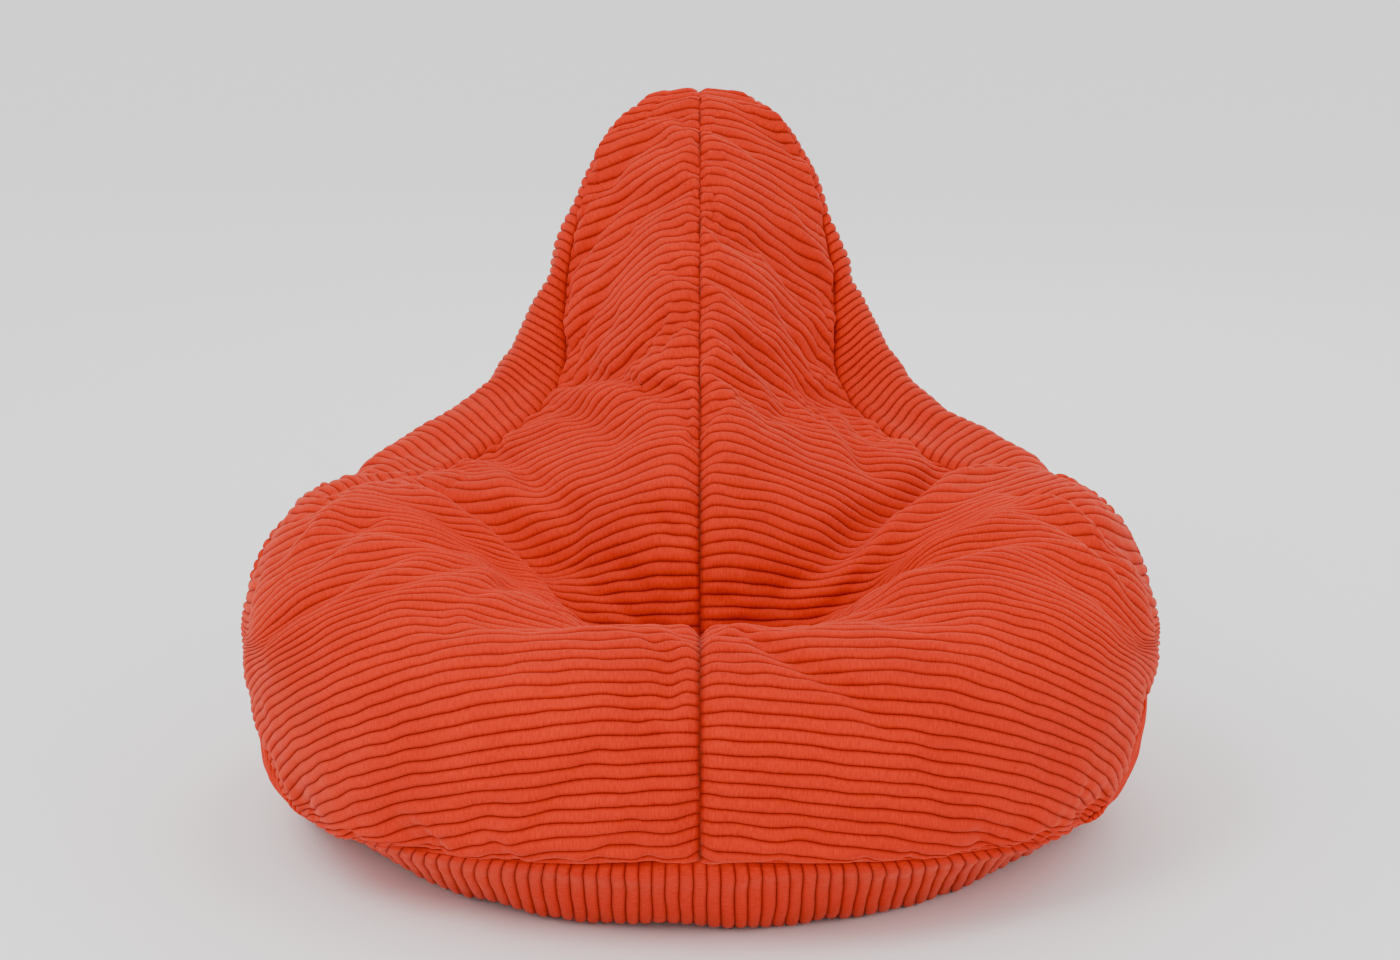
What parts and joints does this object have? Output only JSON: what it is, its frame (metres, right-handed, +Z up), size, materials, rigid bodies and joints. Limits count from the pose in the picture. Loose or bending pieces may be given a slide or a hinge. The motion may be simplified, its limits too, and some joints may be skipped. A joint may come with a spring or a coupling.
{
  "type": "bean bag chair",
  "caption": "Low reclining bean bag with a scooped seat, rounded arms and a tall tapering back, sewn from wide-wale corduroy panels.",
  "frame": {"origin": "on the floor, under the middle of the bag's own box", "axes": "+Z up, the sitter faces -Y, +X on the right of someone who looks at the seat"},
  "size_m": [0.8246, 0.911, 0.636],
  "materials": {
    "corduroy": "matte",
    "liner_cloth": "matte",
    "beads": "matte",
    "zip_tape": "matte",
    "zip_teeth": "satin",
    "zip_metal": "satin",
    "thread": "matte",
    "label_satin": "satin"
  },
  "bodies": {
    "bag": {"front_panel_left": "corduroy", "front_panel_right": "corduroy", "side_panel_left": "corduroy", "side_panel_right": "corduroy", "back_panel": "corduroy", "base_panel": "corduroy", "liner_left": "liner_cloth", "liner_right": "liner_cloth", "liner_base": "liner_cloth", "bead_fill": "beads", "zip_tape_upper": "zip_tape", "zip_tape_lower": "zip_tape", "zip_teeth_upper": "zip_teeth", "zip_teeth_lower": "zip_teeth", "zip_stops": "zip_metal", "liner_zip_tape_upper": "zip_tape", "liner_zip_tape_lower": "zip_tape", "liner_zip_teeth_upper": "zip_teeth", "liner_zip_teeth_lower": "zip_teeth", "liner_zip_stops": "zip_metal", "handle_patch": "corduroy", "handle_stitching": "thread", "care_label": "label_satin"},
    "slider": {"zip_slider": "zip_metal"},
    "liner_slider": {"liner_zip_slider": "zip_metal"},
    "handle": {"carry_handle": "corduroy"}
  },
  "joints": [
    {"name": "zip_travel", "type": "hinge", "parent": "bag", "child": "slider", "pos_m": [0, -0.08851, 0.07], "axis": [0, 0, 1], "range_deg": [0, 45.6]},
    {"name": "liner_zip_travel", "type": "hinge", "parent": "bag", "child": "liner_slider", "pos_m": [0, -0.08851, 0.132], "axis": [0, 0, 1], "range_deg": [0, 31.6]},
    {"name": "handle_swing", "type": "hinge", "parent": "bag", "child": "handle", "pos_m": [0, 0.40441, 0.52858], "axis": [1, 0, 0], "range_deg": [0, 105]}
  ]
}
